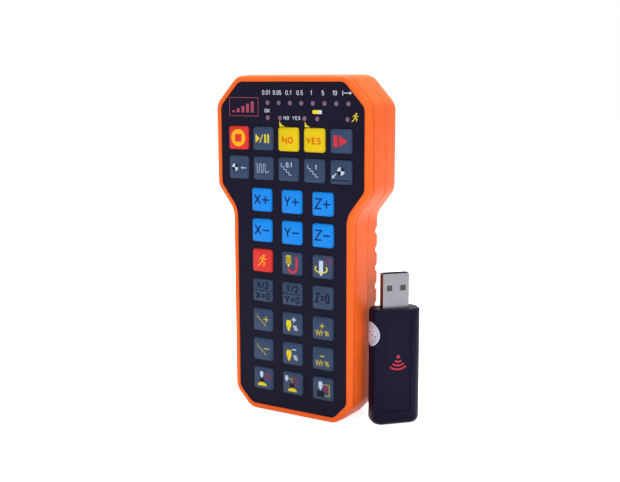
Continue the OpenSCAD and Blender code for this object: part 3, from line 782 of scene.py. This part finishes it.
# ---- Cells ----
# Two AA cells, turned opposite ways, each in a shrunk, glossy plastic sleeve. It is dark
# grey for most of its length and green at the button end, with a plus and a minus
# printed on it. The caps are bare steel.
cell_low, cell_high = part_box("battery_cells")
cell_middle = [(a + b) / 2 for a, b in zip(cell_low, cell_high)]
cell_reach = (cell_high[2] - cell_low[2]) / 2
band_start = 0.013
cap_height = 0.0012
sleeve = skin("shrunk_cell_sleeve", "#1D2024", "#2A2E33", 0.25, 1.5, 0.01, 5)
sleeve_tree = sleeve.node_tree
sleeve_shader = sleeve_tree.nodes["Principled BSDF"]
dark_sleeve = sleeve_shader.inputs["Base Color"].links[0].from_socket
sleeve_point = sleeve_tree.nodes["Texture Coordinate"].outputs["Object"]
parted = add(sleeve_tree, "ShaderNodeSeparateXYZ", {}, {0: sleeve_point})
# Seen from the front, the left cell counts its height upwards and the right one down.
aside = add(
    sleeve_tree,
    "ShaderNodeMath",
    {"operation": "SUBTRACT", 0: cell_middle[0]},
    {1: parted.outputs[0]},
)
sense = add(sleeve_tree, "ShaderNodeMath", {"operation": "SIGN"}, {0: aside.outputs[0]})
upward = add(
    sleeve_tree,
    "ShaderNodeMath",
    {"operation": "SUBTRACT", 1: cell_middle[2]},
    {0: parted.outputs[2]},
)
ahead = add(
    sleeve_tree,
    "ShaderNodeMath",
    {"operation": "MULTIPLY"},
    {0: upward.outputs[0], 1: sense.outputs[0]},
)
band = add(
    sleeve_tree,
    "ShaderNodeMath",
    {"operation": "GREATER_THAN", 1: band_start},
    {0: ahead.outputs[0]},
)
away = add(sleeve_tree, "ShaderNodeMath", {"operation": "ABSOLUTE"}, {0: ahead.outputs[0]})
cap = add(
    sleeve_tree,
    "ShaderNodeMath",
    {"operation": "GREATER_THAN", 1: cell_reach - cap_height},
    {0: away.outputs[0]},
)
banded = add(
    sleeve_tree,
    "ShaderNodeMix",
    {"data_type": "RGBA", 7: linear("#2F6B4A")},
    {0: band.outputs[0], 6: dark_sleeve},
)
capped = add(
    sleeve_tree,
    "ShaderNodeMix",
    {"data_type": "RGBA", 7: linear("#B9B8B6")},
    {0: cap.outputs[0], 6: banded.outputs[2]},
)
sleeve_tree.links.new(capped.outputs[2], sleeve_shader.inputs["Base Color"])
sleeve_tree.links.new(cap.outputs[0], sleeve_shader.inputs["Metallic"])
finish(sleeve, "battery_cells")
inks["cell_white"] = skin("sleeve_ink_white", "#D8D8D4", "#E2E2DE", 0.4, 0.25, 0.002, 3)
cell_offset = (cell_high[0] - cell_low[0]) * 1000 / 4
plus_height = 18.5
minus_height = 19
mark_size = 4.2
mark_stroke = 0.9
cell_marks = []
for way in (1, -1):
    cell_marks += plus(way * cell_offset, way * plus_height, mark_size, mark_stroke)
    cell_marks += minus(way * cell_offset, -way * minus_height, mark_size, mark_stroke)
cell_face = (
    Matrix.Translation((cell_middle[0], cell_high[1], cell_middle[2]))
    @ Matrix.Rotation(math.pi, 4, "Z")
    @ facing_front(0, 0, 0)
)
print_marks("cell_marks", "keypad", [("cell_white", cell_marks)], cell_face)

# ---- Contacts and springs ----
# Nickel plated spring steel, bright and slightly warm: flat plates at the ends of the
# bay, and a coiled spring of 0.8 mm wire under the flat end of each cell.
nickel = skin(
    "nickel_plated_spring_steel", "#B4B2AC", "#CBC9C4", 0.24, 0.4, 0.004, 2, metallic=1
)
finish(nickel, "battery_contacts")

coil_tree = bpy.data.node_groups.new("coiled_spring", "GeometryNodeTree")
coil_inputs = {}
for label, kind in (
    ("Turns", "Float"),
    ("Coil radius", "Float"),
    ("Height", "Float"),
    ("Wire radius", "Float"),
    ("Left foot", "Vector"),
    ("Right foot", "Vector"),
):
    coil_inputs[label] = coil_tree.interface.new_socket(
        label, in_out="INPUT", socket_type="NodeSocket" + kind
    )
coil_tree.interface.new_socket("Geometry", in_out="OUTPUT", socket_type="NodeSocketGeometry")
asked = add(coil_tree, "NodeGroupInput")
helix = add(
    coil_tree,
    "GeometryNodeCurveSpiral",
    {"Resolution": 28},
    {
        "Rotations": asked.outputs["Turns"],
        "Start Radius": asked.outputs["Coil radius"],
        "End Radius": asked.outputs["Coil radius"],
        "Height": asked.outputs["Height"],
    },
)
wire = add(
    coil_tree,
    "GeometryNodeCurvePrimitiveCircle",
    {"Resolution": 10},
    {"Radius": asked.outputs["Wire radius"]},
)
coil = add(
    coil_tree,
    "GeometryNodeCurveToMesh",
    {"Fill Caps": True},
    {"Curve": helix.outputs[0], "Profile Curve": wire.outputs[0]},
)
feet = add(coil_tree, "GeometryNodeJoinGeometry")
for foot in ("Left foot", "Right foot"):
    set_down = add(
        coil_tree,
        "GeometryNodeTransform",
        {},
        {"Geometry": coil.outputs[0], "Translation": asked.outputs[foot]},
    )
    coil_tree.links.new(set_down.outputs[0], feet.inputs[0])
real = add(coil_tree, "GeometryNodeRealizeInstances", {}, {0: feet.outputs[0]})
plated = add(
    coil_tree, "GeometryNodeSetMaterial", {"Material": nickel}, {"Geometry": real.outputs[0]}
)
add(coil_tree, "NodeGroupOutput", {}, {0: plated.outputs[0]})

spring_low, spring_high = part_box("battery_springs")
wire_radius = 0.0004
coil_radius = 0.0032
spring_length = 0.0057
coil_turns = 4.5
coil_reach = coil_radius + wire_radius
depth_middle = (spring_low[1] + spring_high[1]) / 2
left_foot = (spring_low[0] + coil_reach, depth_middle, spring_low[2] + wire_radius)
right_foot = (
    spring_high[0] - coil_reach,
    depth_middle,
    spring_high[2] - spring_length + wire_radius,
)
carrier = bpy.data.objects.new("coil_carrier", bpy.data.meshes.new("coil_carrier"))
scene.collection.objects.link(carrier)
modifier = carrier.modifiers.new("coiled_spring", "NODES")
modifier.node_group = coil_tree
for label, value in (
    ("Turns", coil_turns),
    ("Coil radius", coil_radius),
    ("Height", spring_length - 2 * wire_radius),
    ("Wire radius", wire_radius),
    ("Left foot", left_foot),
    ("Right foot", right_foot),
):
    modifier[coil_inputs[label].identifier] = value
built = carrier.evaluated_get(bpy.context.evaluated_depsgraph_get())
wound = bpy.data.meshes.new_from_object(built)
bpy.data.objects.remove(carrier)
springs = bpy.data.objects.new("cell_springs", wound)
scene.collection.objects.link(springs)
for face in wound.polygons:
    face.use_smooth = True
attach(springs, "keypad")
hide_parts("battery_springs")

# ---- Receiver ----
# Two halves of black ABS round a small board, with a sunk panel on the front. The satin
# skin is finer than on the keypad, and its bluish sheen is a painted sheen in the dark base
# colour. The plug is a stamped steel shell, bright grey, round a dull nylon tongue with
# gilt contact springs.
# The blue in these two dark colours is painted sheen, not reflected light.
black_abs = skin("satin_black_abs", "#0F0B23", "#131228", 0.36, 0.4, 0.008, 10, 0.07)
finish(black_abs, "receiver_front", "receiver_rear")
stamped = skin("stamped_plug_steel", "#77767B", "#848388", 0.3, 0.6, 0.004, 4, metallic=1)
finish(stamped, "plug_shell")
tongue_nylon = skin("dark_tongue_nylon", "#2E2826", "#3B3431", 0.45, 0.5, 0.006, 4)
finish(tongue_nylon, "plug_tongue")
gilt = skin("gilt_contact_bronze", "#C99A3D", "#E0B458", 0.25, 0.4, 0.003, 2, metallic=1)
finish(gilt, "plug_contacts")

# The receiver stands turned on the table. Before the turn its front looks along -Y.
body_turn = math.radians(46)
front_low, front_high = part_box("receiver_front")
rear_low, rear_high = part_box("receiver_rear")
body_x = (min(front_low[0], rear_low[0]) + max(front_high[0], rear_high[0])) / 2
body_y = (min(front_low[1], rear_low[1]) + max(front_high[1], rear_high[1])) / 2
receiver_place = Matrix.Translation((body_x, body_y, 0)) @ Matrix.Rotation(body_turn, 4, "Z")

# ---- Sign on the receiver ----
# A plain sign for radio waves, pad printed in dull red ink on the sunk panel: a dot with
# three arcs below it.
inks["sign_red"] = skin("tampon_ink_red", "#B41F38", "#C22740", 0.45, 0.25, 0.003, 2, 0.3)
sign_height = 0.0275
panel_depth = 0.0056
dot_height = 3.2
arc_width = 0.75
waves = disc(0, dot_height, arc_width)
for reach in (2.2, 3.9, 5.6):
    waves += bar(round_points(0, dot_height, reach, 230, 310, 12), arc_width)
sign_face = receiver_place @ facing_front(0, -panel_depth, sign_height)
print_marks("receiver_sign", "receiver", [("sign_red", waves)], sign_face)

# ---- Seal on the receiver ----
# A round seal of matt, slightly blue paper on the left side, bent round the front corner
# of the body. A ring and a smudged security tint are printed on it. Sizes are in mm.
body_width = 21.8
body_depth = 12
body_corner = 4.8
seal_radius = 5.3
seal_thickness = 0.12
seal_ahead = 1.2
seal_low, seal_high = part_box("receiver_seal")
seal_z = (seal_low[2] + seal_high[2]) * 1000 / 2 + 0.4
ring_radius = 4.5
ring_half_width = 0.14
tint_reach = 3.9
blot_scale = 0.9
blot_start = 0.54
blot_end = 0.6


def on_side(ahead, height, proud):
    """A point on the receiver's left side, ahead mm along the skin from its middle."""
    flat = body_depth / 2 - body_corner
    way = 1 if ahead > 0 else -1
    angle = max(0, abs(ahead) - flat) / body_corner
    reach = body_corner + proud
    x = body_corner - body_width / 2 - reach * math.cos(angle)
    y = -way * (min(abs(ahead), flat) + reach * math.sin(angle))
    return Vector((x, y, height)) / 1000


seal_paper = skin("security_seal_paper", "#C1C2D4", "#D0D2E5", 0.6, 0.3, 0.006, 3, 0.3)
seal_tree = seal_paper.node_tree
seal_point = add(seal_tree, "ShaderNodeUVMap", {"uv_map": "flat_place"}).outputs[0]
radius = add(seal_tree, "ShaderNodeVectorMath", {"operation": "LENGTH"}, {0: seal_point})
ring = add(
    seal_tree,
    "ShaderNodeMath",
    {"operation": "COMPARE", 1: ring_radius, 2: ring_half_width},
    {0: radius.outputs["Value"]},
)
tint = add(
    seal_tree, "ShaderNodeTexNoise", {"Scale": blot_scale, "Detail": 1}, {"Vector": seal_point}
)
blot = add(
    seal_tree,
    "ShaderNodeMapRange",
    {"From Min": blot_start, "From Max": blot_end},
    {"Value": tint.outputs[0]},
)
inside = add(
    seal_tree,
    "ShaderNodeMath",
    {"operation": "LESS_THAN", 1: tint_reach},
    {0: radius.outputs["Value"]},
)
smudge = add(
    seal_tree,
    "ShaderNodeMath",
    {"operation": "MULTIPLY"},
    {0: blot.outputs[0], 1: inside.outputs[0]},
)
printed = add(
    seal_tree,
    "ShaderNodeMath",
    {"operation": "MAXIMUM"},
    {0: ring.outputs[0], 1: smudge.outputs[0]},
)
seal_shader = seal_tree.nodes["Principled BSDF"]
bare_paper = seal_shader.inputs["Base Color"].links[0].from_socket
seal_colour = add(
    seal_tree,
    "ShaderNodeMix",
    {"data_type": "RGBA", 7: linear("#7D7484")},
    {0: printed.outputs[0], 6: bare_paper},
)
seal_tree.links.new(seal_colour.outputs[2], seal_shader.inputs["Base Color"])

# The seal is a grid of rings and spokes just above the skin. Its last ring goes down to it.
seal_shape = bmesh.new()
flat_layer = seal_shape.loops.layers.uv.new("flat_place")
spokes = 48
flat_rings = 6
centre = seal_shape.verts.new(on_side(seal_ahead, seal_z, seal_thickness))
flat_places = {centre: (0, 0)}
rings = []
for k in range(1, flat_rings + 2):
    proud = seal_thickness if k <= flat_rings else 0
    distance = seal_radius * min(k, flat_rings) / flat_rings
    rings.append([])
    for step in range(spokes):
        angle = 2 * math.pi * step / spokes
        ahead, up = distance * math.cos(angle), distance * math.sin(angle)
        vert = seal_shape.verts.new(on_side(seal_ahead + ahead, seal_z + up, proud))
        flat_places[vert] = (ahead, up)
        rings[-1].append(vert)
for k in range(spokes):
    beside = (k + 1) % spokes
    seal_shape.faces.new((centre, rings[0][k], rings[0][beside]))
    for inner, outer in zip(rings, rings[1:]):
        seal_shape.faces.new((inner[k], outer[k], outer[beside], inner[beside]))
for face in seal_shape.faces:
    face.smooth = True
    for loop in face.loops:
        loop[flat_layer].uv = flat_places[loop.vert]
seal_shape.transform(receiver_place)
bmesh.ops.recalc_face_normals(seal_shape, faces=seal_shape.faces)
seal_mesh = bpy.data.meshes.new("paper_seal")
seal_shape.to_mesh(seal_mesh)
seal_shape.free()
seal_mesh.materials.append(seal_paper)
seal = bpy.data.objects.new("paper_seal", seal_mesh)
scene.collection.objects.link(seal)
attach(seal, "receiver")
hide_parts("receiver_seal")
